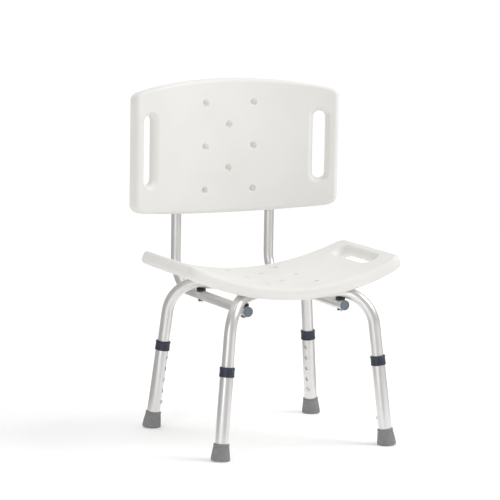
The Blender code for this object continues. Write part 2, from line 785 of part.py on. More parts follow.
floor_bm = bmesh.new()
bmesh.ops.create_cube(floor_bm, size=1.0, matrix=Matrix.Translation((0.0, 0.0, -0.5)))
FLOOR = add_object("floor_plane", finish_mesh("floor_plane", floor_bm))

for leg_label, leg_side in LEGS.items():
    build_lower_leg(leg_label, leg_side)
    build_collar(leg_label, leg_side)
    build_tip(leg_label, leg_side, FLOOR)
    build_snap_button(leg_label, leg_side)
    build_snap_spring(leg_label, leg_side)
    build_fixings(leg_label, leg_side)
    build_saddle(leg_label, leg_side, upper_bed if leg_side[0] == leg_side[1] else lower_bed)

for tube_label, tube_side in (("left", -1), ("right", 1)):
    build_back_tube(tube_label, tube_side)
    build_rail_cap(tube_label, tube_side)
    for level_name, level in zip(("low", "high"), BACK_SCREW_HEIGHTS):
        build_back_screw(level_name + "_" + tube_label, tube_side, level)

for placed in bpy.data.objects:
    placed.location.y += FRAME_SHIFT_Y
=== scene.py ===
"""Looks of the shower chair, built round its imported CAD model.

Every visible piece is remodelled here at a finer grain than its CAD node and stands for that node. Places
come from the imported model's boxes and record. Metres, Z up, the front of the chair faces -Y.
"""

import json
import math

import bmesh
import bpy
from mathutils import Matrix, Vector


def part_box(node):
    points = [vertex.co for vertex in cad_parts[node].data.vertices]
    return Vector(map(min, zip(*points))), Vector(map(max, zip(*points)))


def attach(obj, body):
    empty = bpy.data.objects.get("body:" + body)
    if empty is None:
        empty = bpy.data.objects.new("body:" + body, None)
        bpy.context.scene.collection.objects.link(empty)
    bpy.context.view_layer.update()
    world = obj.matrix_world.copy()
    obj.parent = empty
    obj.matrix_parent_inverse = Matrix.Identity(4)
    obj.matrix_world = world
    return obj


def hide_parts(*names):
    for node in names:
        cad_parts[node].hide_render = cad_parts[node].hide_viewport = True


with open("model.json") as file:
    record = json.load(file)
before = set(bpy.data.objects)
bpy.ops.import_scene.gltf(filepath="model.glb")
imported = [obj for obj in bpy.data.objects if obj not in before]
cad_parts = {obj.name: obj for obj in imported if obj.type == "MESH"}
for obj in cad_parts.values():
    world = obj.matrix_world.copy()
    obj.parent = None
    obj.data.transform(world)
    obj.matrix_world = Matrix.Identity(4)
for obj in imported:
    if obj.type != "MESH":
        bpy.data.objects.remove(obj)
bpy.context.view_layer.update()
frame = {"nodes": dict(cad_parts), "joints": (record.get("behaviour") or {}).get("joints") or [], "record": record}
RECORD = frame["record"]
JOINTS = {joint["name"]: joint for joint in frame["joints"]}
FEET = {mount["name"]: Vector(mount["pos_m"]) for mount in RECORD["mounts"]}

# ---- shapes that the CAD nodes have, in metres --------------------------------------------------

GAP = 0.0003
LEG_RADIUS = 0.0127
LEG_WALL = 0.0014
LEG_BEND = 0.079
LEG_END = 0.044               # lower end of the inner leg tube, along the leg
LOWER_RADIUS = 0.0143
LOWER_BORE = 0.0130
LOWER_BOTTOM = 0.0078
LOWER_TOP = 0.1842
COLLAR_BOTTOM = 0.1770
COLLAR_TOP = 0.1980
TIP_TOP = 0.0362
HOLE_RADIUS = 0.0041
HOLE_PITCH = 0.0254
HOLE_COUNT = 5
BUTTON_HEIGHT = 0.060
FOOT_INSET = 0.0105           # the foot mounts lie this far inward of the leg axes
RAIL_RADIUS = 0.0111
RAIL_WALL = 0.0012
RAIL_BEND = 0.070
SCREW_HEIGHTS = (0.540, 0.640)
CROSSING_FLAT = 0.020
CROSSING_FADE = 0.038
CROSSING_SQUASH = 0.47
CROSSING_SPREAD = 1.28
PANEL_BEND = 0.570
PANEL_HALF_ARC = 0.2565
PANEL_HALF_SPAN = 0.1515
PANEL_THICK = 0.028
PANEL_EDGE = 0.0095
PANEL_CORNER = 0.028
HIGH_ARCH = 1.25
LOW_ARCH = 2.15
SLOT_AT = 0.2133
SLOT_HALF_LENGTH = 0.0775
SLOT_HALF_WIDTH = 0.0136
SLOT_FLARE = 0.0105
DIMPLE_COLUMN = 0.0595
DIMPLE_PITCH = 0.049
POCKET_RADIUS = 0.0410
BLOW_HOLE_RADIUS = 0.003
BOLT_HOLE = 0.0034
SADDLE_RADIUS = 0.0105
SADDLE_BOTTOM = 0.3138
SADDLE_TOP = 0.3192
SADDLE_ROUND = 0.0006
HOLE_MARGIN = 0.006           # how far above and below the hole centres a hole's wall is looked for
WALL_FACE_AREA = 0.000002     # the faces that line a hole are smaller than this

# ---- camera -------------------------------------------------------------------------------------

VIEW_TURN = math.radians(26.517)
VIEW_DROP = math.radians(8.584)
VIEW_ROLL = math.radians(0.989)
VIEW_PLACE = (-2.49240, -4.92249, 1.24125)
VIEW_LENS = 183.45

# ---- places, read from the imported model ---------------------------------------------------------


def middle_of(node):
    low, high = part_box(node)
    return (low + high) / 2


SHIFT = middle_of("crossing_rivet").y
RUN_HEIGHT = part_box("leg_tube_upper")[1].z - LEG_RADIUS
RAIL_X = middle_of("rail_cap_right").x
RAIL_HEIGHT = middle_of("rail_cap_right").z
RAIL_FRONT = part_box("back_tube_right")[0].y
BACK_TUBE_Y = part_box("back_tube_right")[1].y - RAIL_RADIUS
BACK_TUBE_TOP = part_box("back_tube_right")[1].z
SEAT_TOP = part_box("seat")[0].z + PANEL_THICK
SEAT_MIDDLE_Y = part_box("seat")[1].y - PANEL_HALF_SPAN
BACK_MIDDLE_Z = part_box("backrest")[1].z - PANEL_HALF_SPAN
BACK_FRONT_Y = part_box("backrest")[1].y - PANEL_THICK

LEGS = ("front_left", "front_right", "rear_left", "rear_right")


def leg_matrix(leg):
    """Local Z climbs the leg axis from the floor, local X points at the middle of the chair."""
    up = -Vector(JOINTS["leg_slide_" + leg]["axis"])
    inward = -Vector(JOINTS["button_press_" + leg]["axis"])
    foot = FEET["foot_" + leg] - inward.normalized() * FOOT_INSET
    foot = foot - up * (foot.z / up.z)
    turn = Matrix((inward, up.cross(inward), up)).transposed()
    return Matrix.Translation(foot) @ turn.to_4x4()


def leg_point(leg, height):
    """Point of the leg axis at a height above the floor."""
    place = leg_matrix(leg)
    foot = place.translation
    up = place.col[2].to_3d()
    return foot + up * ((height - foot.z) / up.z)


RUN_CORNER = leg_point("rear_right", RUN_HEIGHT)
BOLT_REACH = RAIL_X * (RUN_CORNER.y - SHIFT) / RUN_CORNER.x


def bolt_place(leg):
    sx = -1 if "left" in leg else 1
    sy = -1 if "front" in leg else 1
    return sx * RAIL_X, SHIFT + sy * BOLT_REACH


# ---- materials ----------------------------------------------------------------------------------

class Look:
    """Principled material whose colour, roughness and bump come from noise."""

    def __init__(self, name, roughness, metallic=0.0):
        self.made = bpy.data.materials.new(name)
        self.made.use_nodes = True
        self.nodes = self.made.node_tree.nodes
        self.links = self.made.node_tree.links
        self.shader = self.nodes["Principled BSDF"]
        self.shader.inputs["Roughness"].default_value = roughness
        self.shader.inputs["Metallic"].default_value = metallic
        self.height = None

    def place(self, output="Object", scale=(1.0, 1.0, 1.0)):
        source = self.nodes.new("ShaderNodeTexCoord")
        mapping = self.nodes.new("ShaderNodeMapping")
        mapping.inputs["Scale"].default_value = scale
        self.links.new(source.outputs[output], mapping.inputs["Vector"])
        return mapping.outputs["Vector"]

    def noise(self, where, scale, detail=3.0, roughness=0.5):
        made = self.nodes.new("ShaderNodeTexNoise")
        made.inputs["Scale"].default_value = scale
        made.inputs["Detail"].default_value = detail
        made.inputs["Roughness"].default_value = roughness
        self.links.new(where, made.inputs["Vector"])
        return made.outputs["Fac"]

    def ramp(self, value, low, high, stops):
        """Colours or greys between two noise values."""
        made = self.nodes.new("ShaderNodeValToRGB")
        ramp = made.color_ramp
        ramp.elements[0].position = low
        ramp.elements[0].color = (*stops[0], 1.0)
        ramp.elements[1].position = high
        ramp.elements[1].color = (*stops[-1], 1.0)
        for k, colour in enumerate(stops[1:-1], 1):
            between = ramp.elements.new(low + (high - low) * k / (len(stops) - 1))
            between.color = (*colour, 1.0)
        self.links.new(value, made.inputs["Fac"])
        return made.outputs["Color"]

    def blend(self, how, share, first, second):
        made = self.nodes.new("ShaderNodeMix")
        made.data_type = "RGBA"
        made.blend_type = how
        if isinstance(share, float):
            made.inputs["Factor"].default_value = share
        else:
            self.links.new(share, made.inputs["Factor"])
        self.links.new(first, made.inputs["A"])
        self.links.new(second, made.inputs["B"])
        return made.outputs["Result"]

    def colour(self, output):
        self.links.new(output, self.shader.inputs["Base Color"])

    def rough(self, value, low, high, span=(0.3, 0.7)):
        made = self.nodes.new("ShaderNodeMapRange")
        made.inputs["From Min"].default_value = span[0]
        made.inputs["From Max"].default_value = span[1]
        made.inputs["To Min"].default_value = low
        made.inputs["To Max"].default_value = high
        self.links.new(value, made.inputs["Value"])
        self.links.new(made.outputs["Result"], self.shader.inputs["Roughness"])

    def bump(self, value, distance, strength):
        made = self.nodes.new("ShaderNodeBump")
        made.inputs["Distance"].default_value = distance
        made.inputs["Strength"].default_value = strength
        self.links.new(value, made.inputs["Height"])
        if self.height is not None:
            self.links.new(self.height, made.inputs["Normal"])
        self.height = made.outputs["Normal"]
        self.links.new(self.height, self.shader.inputs["Normal"])


def grey(level, warm=0.0):
    return (level * (1 + warm), level, level * (1 - warm))


def make_moulded_white():
    """Blow-moulded polyethylene: fine grain from the mould, slow waviness, faint scuffs."""
    look = Look("moulded_white", 0.46)
    where = look.place()
    slow = look.noise(where, 7.0, 2.0)
    tint = look.ramp(slow, 0.35, 0.65, [(0.780, 0.768, 0.738), (0.806, 0.797, 0.771)])
    scuff = look.noise(look.place(scale=(1.0, 0.22, 1.0)), 240.0, 5.0, 0.7)
    marks = look.ramp(scuff, 0.66, 0.80, [(1.0, 1.0, 1.0), (0.93, 0.93, 0.92)])
    look.colour(look.blend("MULTIPLY", 0.6, tint, marks))
    look.rough(look.noise(where, 60.0, 4.0), 0.40, 0.56)
    look.bump(look.noise(where, 1500.0, 2.0), 0.0002, 0.22)
    look.bump(look.noise(where, 22.0, 1.0), 0.0015, 0.10)
    look.shader.inputs["Specular IOR Level"].default_value = 0.42
    return look.made


def make_satin_aluminium():
    """Drawn and satin anodised tube: streaks run along it, fine grain on top."""
    look = Look("satin_aluminium", 0.36, 0.85)
    along = look.place("UV", (1.0, 1.0, 1.0))
    streak = look.noise(look.place("UV", (70.0, 2.2, 1.0)), 1.0, 5.0, 0.65)
    cloud = look.noise(along, 9.0, 3.0)
    tint = look.ramp(streak, 0.32, 0.70, [grey(0.73, 0.016), grey(0.78, 0.015), grey(0.81, 0.012)])
    haze = look.ramp(cloud, 0.30, 0.72, [grey(0.955, 0.006), grey(1.0)])
    look.colour(look.blend("MULTIPLY", 0.8, tint, haze))
    look.rough(streak, 0.29, 0.41)
    look.bump(look.noise(look.place("UV", (150.0, 4.0, 1.0)), 1.0, 3.0), 0.0001, 0.18)
    look.bump(look.noise(look.place(), 2400.0, 2.0), 0.00008, 0.20)
    return look.made


def make_painted_hole_shade():
    """Painted shade for the walls of the punched holes: near-black metal that stands in for the shade inside each
    hole.
    """
    look = Look("hole_wall_painted_shade", 0.6, 0.3)
    where = look.place()
    shade_mottle = look.noise(where, 900.0, 4.0, 0.6)
    look.colour(look.ramp(shade_mottle, 0.30, 0.70, [grey(0.035), grey(0.075)]))
    look.rough(shade_mottle, 0.50, 0.70)
    look.bump(look.noise(where, 2200.0, 2.0), 0.0001, 0.3)
    return look.made


def make_zinc():
    """Bright zinc plate with a mottled passivation tint."""
    look = Look("zinc_plate", 0.28, 1.0)
    where = look.place()
    mottle = look.noise(where, 260.0, 4.0, 0.6)
    look.colour(look.ramp(mottle, 0.32, 0.70, [(0.60, 0.60, 0.58), (0.70, 0.70, 0.70), (0.76, 0.75, 0.72)]))
    look.rough(look.noise(where, 700.0, 4.0), 0.20, 0.38)
    look.bump(look.noise(where, 1900.0, 2.0), 0.00008, 0.25)
    return look.made


def make_moulded(name, dark, light, rough_low, rough_high, grain):
    """Injection-moulded plastic with a spark-eroded grain and paler rubbed spots."""
    look = Look(name, rough_low)
    where = look.place()
    slow = look.noise(where, 90.0, 3.0)
    rubbed = look.noise(where, 420.0, 5.0, 0.7)
    tint = look.ramp(slow, 0.30, 0.70, [dark, light])
    spots = look.ramp(rubbed, 0.62, 0.82, [(1.0, 1.0, 1.0), (1.35, 1.35, 1.32)])
    look.colour(look.blend("MULTIPLY", 0.5, tint, spots))
    look.rough(look.noise(where, 320.0, 3.0), rough_low, rough_high)
    look.bump(look.noise(where, grain, 2.0), 0.00015, 0.30)
    return look.made


def make_rubber():
    """Matt moulded rubber: fine pits and a patchy dusty bloom."""
    look = Look("grey_rubber", 0.75)
    where = look.place()
    cloud = look.noise(where, 120.0, 4.0, 0.6)
    tint = look.ramp(cloud, 0.28, 0.72, [(0.205, 0.205, 0.207), (0.250, 0.250, 0.252)])
    dust = look.noise(look.place(scale=(1.0, 1.0, 2.5)), 45.0, 5.0, 0.7)
    bloom = look.ramp(dust, 0.52, 0.80, [(1.0, 1.0, 1.0), (1.22, 1.21, 1.18)])
    look.colour(look.blend("MULTIPLY", 0.6, tint, bloom))
    look.rough(look.noise(where, 260.0, 4.0), 0.62, 0.88)
    look.bump(look.noise(where, 1100.0, 3.0), 0.0002, 0.35)
    return look.made


def make_floor():
    """Seamless pale sweep with a faint paper grain."""
    look = Look("pale_sweep", 0.9)
    where = look.place()
    look.colour(look.ramp(look.noise(where, 3.0, 3.0), 0.3, 0.7, [grey(0.86), grey(0.88)]))
    look.bump(look.noise(where, 300.0, 2.0), 0.0002, 0.1)
    look.shader.inputs["Specular IOR Level"].default_value = 0.1
    look.shader.inputs["Emission Color"].default_value = (1.0, 1.0, 1.0, 1.0)
    split = look.nodes.new("ShaderNodeSeparateXYZ")
    look.links.new(where, split.inputs["Vector"])
    glow = look.nodes.new("ShaderNodeMapRange")
    glow.inputs["From Min"].default_value = 1.0
    glow.inputs["From Max"].default_value = 6.0
    glow.inputs["To Min"].default_value = 0.21
    glow.inputs["To Max"].default_value = 0.42
    look.links.new(split.outputs["Y"], glow.inputs["Value"])
    look.links.new(glow.outputs["Result"], look.shader.inputs["Emission Strength"])
    return look.made


WHITE = make_moulded_white()
ALUMINIUM = make_satin_aluminium()
ZINC = make_zinc()
# Near-black painted shade for the walls of the leg holes.
HOLE_SHADE_LOOK = make_painted_hole_shade()
NAVY = make_moulded("navy_plastic", (0.020, 0.025, 0.046), (0.030, 0.036, 0.060), 0.34, 0.48, 1300.0)
CAP_BLUE = make_moulded(
    "grey_blue_plastic", (0.150, 0.172, 0.215), (0.180, 0.205, 0.250), 0.42, 0.58, 1300.0
)
BLACK = make_moulded("black_plastic", (0.009, 0.009, 0.010), (0.018, 0.018, 0.019), 0.40, 0.60, 1500.0)
RUBBER = make_rubber()

# ---- mesh helpers -------------------------------------------------------------------------------

PIECES = []


def add_piece(name, mesh, look, body, nodes, slot, angle=38.0, matrix=None):
    made = bpy.data.objects.new(name, mesh)
    bpy.context.scene.collection.objects.link(made)
    if matrix is not None:
        mesh.transform(matrix)
    mesh.materials.clear()
    mesh.materials.append(look)
    for face in mesh.polygons:
        face.use_smooth = True
    mesh.set_sharp_from_angle(angle=math.radians(angle))
    PIECES.append((made, body, nodes, slot))
    return made


def even_shading(piece):
    """Lets the broad faces set the normals, so they shade evenly up to the edge of each hole."""
    normals = piece.modifiers.new("broad_faces_first", "WEIGHTED_NORMAL")
    normals.mode = "FACE_AREA"
    normals.weight = 100
    normals.keep_sharp = True


def cutter(name, mesh, matrix=None):
    made = bpy.data.objects.new(name, mesh)
    bpy.context.scene.collection.objects.link(made)
    if matrix is not None:
        made.matrix_world = matrix
    return made


def carve(name, mesh, cutters, matrix=None):
    """The mesh with each cutter taken out of it, as a new mesh."""
    made = cutter(name, mesh, matrix)
    for other in cutters:
        step = made.modifiers.new("cut", "BOOLEAN")
        step.operation = "DIFFERENCE"
        step.solver = "EXACT"
        step.object = other
    bpy.context.view_layer.update()
    seen = made.evaluated_get(bpy.context.evaluated_depsgraph_get())
    result = bpy.data.meshes.new_from_object(seen)
    result.name = name
    bpy.data.objects.remove(made, do_unlink=True)
    return result


def drop(cutters):
    for other in cutters:
        bpy.data.objects.remove(other, do_unlink=True)


def to_mesh(name, bm, fix_normals=True):
    if fix_normals:
        bmesh.ops.recalc_face_normals(bm, faces=bm.faces)
    mesh = bpy.data.meshes.new(name)
    bm.to_mesh(mesh)
    bm.free()
    return mesh


def skin(bm, rings, close_ends=True, around=1.0, length=1.0):
    """Quads through rings of points, with a UV map: once round, and the distance along in metres."""
    layer = bm.loops.layers.uv.verify()
    loops = [[bm.verts.new(point) for point in ring] for ring in rings]
    count = len(loops[0])
    travelled = 0.0
    for low, high in zip(loops, loops[1:]):
        step = sum((a.co - b.co).length for a, b in zip(low, high)) / count
        for k in range(count):
            n = (k + 1) % count
            face = bm.faces.new((low[k], low[n], high[n], high[k]))
            left = k * around / count
            right = (k + 1) * around / count
            ends = (travelled * length, (travelled + step) * length)
            spots = ((left, ends[0]), (right, ends[0]), (right, ends[1]), (left, ends[1]))
            for loop, spot in zip(face.loops, spots):
                loop[layer].uv = spot
        travelled += step
    if close_ends:
        bm.faces.new(list(reversed(loops[0])))
        bm.faces.new(loops[-1])


def circle(radius, sides, height=0.0, middle=(0.0, 0.0)):
    ring = []
    for k in range(sides):
        turn = 2 * math.pi * k / sides
        x = middle[0] + radius * math.cos(turn)
        y = middle[1] + radius * math.sin(turn)
        ring.append(Vector((x, y, height)))
    return ring


def rod(bm, start, end, radius, sides=24):
    start = Vector(start)
    along = Vector(end) - start
    turn = along.to_track_quat("Z", "Y")
    skin(bm, [[start + turn @ p for p in circle(radius, sides, h)] for h in (0.0, along.length)])


def softened(points, steps=4):
    """Rounds the corners of an outline of (radius, height, rounding) points."""
    out = []
    count = len(points)
    for k, (r, h, soft) in enumerate(points):
        here = Vector((r, h))
        if soft <= 0 or k in (0, count - 1):
            out.append((r, h))
            continue
        back = Vector(points[k - 1][:2]) - here
        on = Vector(points[k + 1][:2]) - here
        first = here + back.normalized() * min(soft, back.length * 0.48)
        last = here + on.normalized() * min(soft, on.length * 0.48)
        for n in range(steps + 1):
            t = n / steps
            spot = first * (1 - t) ** 2 + here * 2 * t * (1 - t) + last * t * t
            out.append((spot.x, spot.y))
    return out


def lathe(name, outline, sides, ring=False):
    """Mesh turned about Z from (radius, height) points; a ring's outline joins up with itself."""
    bm = bmesh.new()
    layer = bm.loops.layers.uv.verify()
    columns = []
    for radius, height in outline:
        if radius < 1e-6:
            columns.append([bm.verts.new((0.0, 0.0, height))] * sides)
        else:
            columns.append([bm.verts.new(p) for p in circle(radius, sides, height)])
    pairs = list(zip(columns, columns[1:]))
    if ring:
        pairs.append((columns[-1], columns[0]))
    travelled = 0.0
    for low, high in pairs:
        step = (low[0].co - high[0].co).length
        for k in range(sides):
            n = (k + 1) % sides
            corners = [low[k], low[n], high[n], high[k]]
            spots = [(k / sides, travelled), ((k + 1) / sides, travelled)]
            spots += [((k + 1) / sides, travelled + step), (k / sides, travelled + step)]
            kept = []
            for corner, spot in zip(corners, spots):
                if all(corner is not other for other, _ in kept):
                    kept.append((corner, spot))
            face = bm.faces.new([corner for corner, _ in kept])
            for loop, (_, spot) in zip(face.loops, kept):
                loop[layer].uv = spot
        travelled += step
    return to_mesh(name, bm)


def rounded_corner(before, corner, after, radius, steps):
    back = (before - corner).normalized()
    on = (after - corner).normalized()
    half = back.angle(on) / 2
    reach = radius / math.tan(half)
    middle = corner + (back + on).normalized() * (radius / math.sin(half))
    first = corner + back * reach - middle
    last = corner + on * reach - middle
    sweep = first.angle(last)
    arc = []
    for k in range(steps + 1):
        t = k / steps
        spot = first * math.sin((1 - t) * sweep) + last * math.sin(t * sweep)
        arc.append(middle + spot / math.sin(sweep))
    return arc


def tube(name, points, radius, wall, sides):
    """Open tube with a wall along a path; the end rims are rounded."""
    rings_out = []
    rings_in = []
    tangent = (points[1] - points[0]).normalized()
    side = tangent.orthogonal().normalized()
    count = len(points)
    for k, point in enumerate(points):
        ahead = (points[min(k + 1, count - 1)] - points[max(k - 1, 0)]).normalized()
        side = (side - ahead * side.dot(ahead)).normalized()
        up = ahead.cross(side)
        ring = []
        bore = []
        for n in range(sides):
            turn = 2 * math.pi * n / sides
            way = side * math.cos(turn) + up * math.sin(turn)
            ring.append(point + way * radius)
            bore.append(point + way * (radius - wall))
        rings_out.append(ring)
        rings_in.append(bore)
    rounding = wall * 0.3

    def rim(outer, bore, into):
        near = [a + (b - a) * 0.28 for a, b in zip(outer, bore)]
        far = [a + (b - a) * 0.72 for a, b in zip(outer, bore)]
        drawn = [a + into * rounding for a in outer]
        return drawn, near, far

    start = (points[1] - points[0]).normalized()
    end = (points[-2] - points[-1]).normalized()
    drawn_a, near_a, far_a = rim(rings_out[0], rings_in[0], start)
    drawn_b, near_b, far_b = rim(rings_out[-1], rings_in[-1], end)
    loops = [far_a, near_a, drawn_a] + rings_out[1:-1] + [drawn_b, near_b, far_b]
    loops += list(reversed(rings_in[1:-1]))
    bm = bmesh.new()
    skin(bm, loops + [far_a], close_ends=False)
    bmesh.ops.remove_doubles(bm, verts=bm.verts, dist=1e-7)
    return to_mesh(name, bm)


# ---- moulded panels -----------------------------------------------------------------------------

def arched(u, v):
    arch = HIGH_ARCH if v > 0 else LOW_ARCH
    share = math.copysign((v / PANEL_HALF_SPAN) ** 4, v)
    return v - share * u * u / (2 * arch)


def seat_place(u, v, depth):
    """Arc length across, distance back, depth under the sitting surface."""
    reach = PANEL_BEND + depth
    turn = u / PANEL_BEND
    height = SEAT_TOP + PANEL_BEND - reach * math.cos(turn)
    return Vector((reach * math.sin(turn), SEAT_MIDDLE_Y + arched(u, v), height))


def back_place(u, v, depth):
    """Arc length across, distance up, depth behind the front face."""
    reach = PANEL_BEND + depth
    turn = u / PANEL_BEND
    distance = BACK_FRONT_Y - PANEL_BEND + reach * math.cos(turn)
    return Vector((reach * math.sin(turn), distance, BACK_MIDDLE_Z + arched(u, v)))


def panel_outline(inset, corner_steps=14, run_steps=55):
    """Upper half of a rounded rectangle from right to left."""
    radius = PANEL_CORNER - inset
    cu = PANEL_HALF_ARC - PANEL_CORNER
    cv = PANEL_HALF_SPAN - PANEL_CORNER
    points = []
    for k in range(corner_steps + 1):
        turn = 0.5 * math.pi * k / corner_steps
        points.append((cu + radius * math.cos(turn), cv + radius * math.sin(turn)))
    for k in range(1, run_steps):
        points.append((cu - 2 * cu * k / run_steps, cv + radius))
    points += [(-u, v) for u, v in reversed(points[: corner_steps + 1])]
    return points


def panel_mesh(name, place):
    """Slab with soft edges and the moulding's parting line round its rim."""
    steps = 9
    half = PANEL_THICK / 2
    levels = []
    for k in range(steps + 1):
        turn = 0.5 * math.pi * k / steps
        levels.append((PANEL_EDGE * (1 - math.sin(turn)), PANEL_EDGE * (1 - math.cos(turn))))
    levels += [(0.0, half - 0.0007), (0.00025, half - 0.0002)]
    levels += [(shrink, PANEL_THICK - depth) for shrink, depth in reversed(levels)]
    bm = bmesh.new()
    rings = []
    for shrink, depth in levels:
        outline = panel_outline(shrink)
        upper = [bm.verts.new(place(u, v, depth)) for u, v in outline]
        lower = [bm.verts.new(place(u, -v, depth)) for u, v in outline]
        rings.append((upper, lower))
    loops = [upper + list(reversed(lower)) for upper, lower in rings]
    for near, far in zip(loops, loops[1:]):
        for k in range(len(near)):
            n = (k + 1) % len(near)
            bm.faces.new((near[k], near[n], far[n], far[k]))
    for upper, lower in (rings[0], rings[-1]):
        for k in range(len(upper) - 1):
            bm.faces.new((upper[k], upper[k + 1], lower[k + 1], lower[k]))
    return to_mesh(name, bm)


def slot_cutter(place, middle):
    """One hand hold: a stadium that flares softly into both faces."""
    steps = 16
    levels = [(-0.0015, SLOT_FLARE + 0.0052), (0.0, SLOT_FLARE + 0.0010), (0.0006, SLOT_FLARE - 0.0006)]
    levels += [(0.0016, 0.78 * SLOT_FLARE), (0.0030, 0.58 * SLOT_FLARE), (0.0048, 0.38 * SLOT_FLARE)]
    levels += [(0.0068, 0.21 * SLOT_FLARE), (0.0090, 0.08 * SLOT_FLARE), (0.0115, 0.015 * SLOT_FLARE)]
    levels.append((PANEL_THICK / 2, 0.0))
    levels += [(PANEL_THICK - depth, wider) for depth, wider in reversed(levels[:-1])]
    rings = []
    for depth, wider in levels:
        half_width = SLOT_HALF_WIDTH + wider
        straight = SLOT_HALF_LENGTH - SLOT_HALF_WIDTH
        ring = []
        for end in (1, -1):
            for k in range(steps + 1):
                turn = math.pi * k / steps
                u = middle + end * half_width * math.cos(turn)
                ring.append(place(u, end * (straight + half_width * math.sin(turn)), depth))
        rings.append(ring)
    bm = bmesh.new()
    skin(bm, rings)
    return to_mesh("slot", bm)


def dimple_places():
    for row in range(-2, 3):
        if row % 2 == 0:
            yield (-DIMPLE_COLUMN, row * DIMPLE_PITCH)
            yield (DIMPLE_COLUMN, row * DIMPLE_PITCH)
        else:
            yield (0.0, row * DIMPLE_PITCH)


def dimple_cutter(place, u0, v0):
    """Shallow dent with a soft mouth and a domed bottom."""
    levels = [(-0.0010, 0.0108), (0.0, 0.0088), (0.0005, 0.0081), (0.0014, 0.0075), (0.0028, 0.0067)]
    levels += [(0.0046, 0.0058), (0.0062, 0.0048), (0.0074, 0.0035), (0.0081, 0.0020)]
    rings = []
    for depth, radius in levels:
        rings.append([place(u0 + p.x, v0 + p.y, depth) for p in circle(radius, 32)])
    bm = bmesh.new()
    skin(bm, rings)
    return to_mesh("dimple", bm)


def common_cutters(place):
    made = [cutter("slot", slot_cutter(place, middle)) for middle in (-SLOT_AT, SLOT_AT)]
    made += [cutter("dimple", dimple_cutter(place, u, v)) for u, v in dimple_places()]
    return made


def channel_cutter(corner):
    """Inverted U channel for one level leg run."""
    radius = LEG_RADIUS + GAP
    along = Vector((corner.x, corner.y - SHIFT, 0.0)).normalized()
    across = Vector((-along.y, along.x, 0.0))
    outline = [(radius, -0.030), (radius, 0.0)]
    for k in range(1, 18):
        turn = math.pi * k / 18
        outline.append((radius * math.cos(turn), radius * math.sin(turn)))
    outline += [(-radius, 0.0), (-radius, -0.030)]
    rings = []
    for reach in (-0.230, 0.230):
        middle = Vector((0.0, SHIFT, RUN_HEIGHT)) + along * reach
        rings.append([middle + across * side + Vector((0.0, 0.0, rise)) for side, rise in outline])
    bm = bmesh.new()
    skin(bm, rings)
    return to_mesh("channel", bm)


def round_cutter(start, end, radius, sides=32):
    bm = bmesh.new()
    rod(bm, start, end, radius, sides)
    return to_mesh("round", bm)


def build_seat():
    cutters = common_cutters(seat_place)
    corners = [leg_point("rear_right", RUN_HEIGHT), leg_point("front_right", RUN_HEIGHT)]
    cutters += [cutter("channel", channel_cutter(corner)) for corner in corners]
    top = RUN_HEIGHT + LEG_RADIUS + 0.0030
    pocket = round_cutter((0.0, SHIFT, 0.300), (0.0, SHIFT, top), POCKET_RADIUS, 64)
    cutters.append(cutter("pocket", pocket))
    y = SEAT_MIDDLE_Y - 0.075
    blow_hole = round_cutter((0.0, y, 0.310), (0.0, y, 0.335), BLOW_HOLE_RADIUS)
    cutters.append(cutter("blow_hole", blow_hole))
    mesh = carve("seat_shell", panel_mesh("seat_slab", seat_place), cutters)
    drop(cutters)
    even_shading(add_piece("seat_shell", mesh, WHITE, "frame", ["seat"], "moulded_plastic", 32))


def build_backrest():
    cutters = common_cutters(back_place)
    for sx in (-1, 1):
        x = sx * RAIL_X
        start = (x, BACK_TUBE_Y, 0.40)
        end = (x, BACK_TUBE_Y, BACK_TUBE_TOP + 0.001)
        groove = round_cutter(start, end, RAIL_RADIUS + GAP, 48)
        cutters.append(cutter("groove", groove))
    front = BACK_FRONT_Y + PANEL_THICK - 0.0107
    blow_hole = round_cutter((0.030, front, 0.500), (0.030, front + 0.030, 0.500), BLOW_HOLE_RADIUS)
    cutters.append(cutter("blow_hole", blow_hole))
    mesh = carve("backrest_shell", panel_mesh("backrest_slab", back_place), cutters)
    drop(cutters)
    even_shading(add_piece("backrest_shell", mesh, WHITE, "frame", ["backrest"], "moulded_plastic", 32))


# ---- leg frame ----------------------------------------------------------------------------------

def build_leg_tube(name, first, second, keep_top):
    corner_a = leg_point(first, RUN_HEIGHT)
    corner_b = leg_point(second, RUN_HEIGHT)
    end_a = leg_matrix(first) @ Vector((0.0, 0.0, LEG_END))
    end_b = leg_matrix(second) @ Vector((0.0, 0.0, LEG_END))
    along = (corner_b - corner_a).normalized()
    across = Vector((-along.y, along.x, 0.0))
    middle = Vector((0.0, SHIFT, RUN_HEIGHT))
    points = [end_a, end_a + (corner_a - end_a) * 0.3]
    points += rounded_corner(end_a, corner_a, corner_b, LEG_BEND, 26)
    points += [middle + along * reach * 0.002 for reach in range(-20, 21)]
    points += rounded_corner(corner_a, corner_b, end_b, LEG_BEND, 26)
    points += [end_b + (corner_b - end_b) * 0.3, end_b]
    mesh = tube(name, points, LEG_RADIUS, LEG_WALL, 40)
    kept = RUN_HEIGHT + (LEG_RADIUS if keep_top else -LEG_RADIUS)
    for vertex in mesh.vertices:
        if vertex.co.z < RUN_HEIGHT - 2 * LEG_RADIUS:
            continue
        reach = abs((vertex.co - middle).dot(along))
        t = min(max((CROSSING_FADE - reach) / (CROSSING_FADE - CROSSING_FLAT), 0.0), 1.0)
        press = t * t * (3 - 2 * t)
        vertex.co.z = kept + (vertex.co.z - kept) * (1 + (CROSSING_SQUASH - 1) * press)
        vertex.co += across * (vertex.co - middle).dot(across) * (CROSSING_SPREAD - 1) * press
    cutters = []
    for leg in (first, second):
        place = leg_matrix(leg)
        start = place @ Vector((0.0, 0.0, BUTTON_HEIGHT))
        end = place @ Vector((0.020, 0.0, BUTTON_HEIGHT))
        cutters.append(cutter("button_hole", round_cutter(start, end, 0.0040, 24)))
    mesh = carve(name, mesh, cutters)
    drop(cutters)
    add_piece("bent_" + name, mesh, ALUMINIUM, "frame", [name], "satin_aluminium")


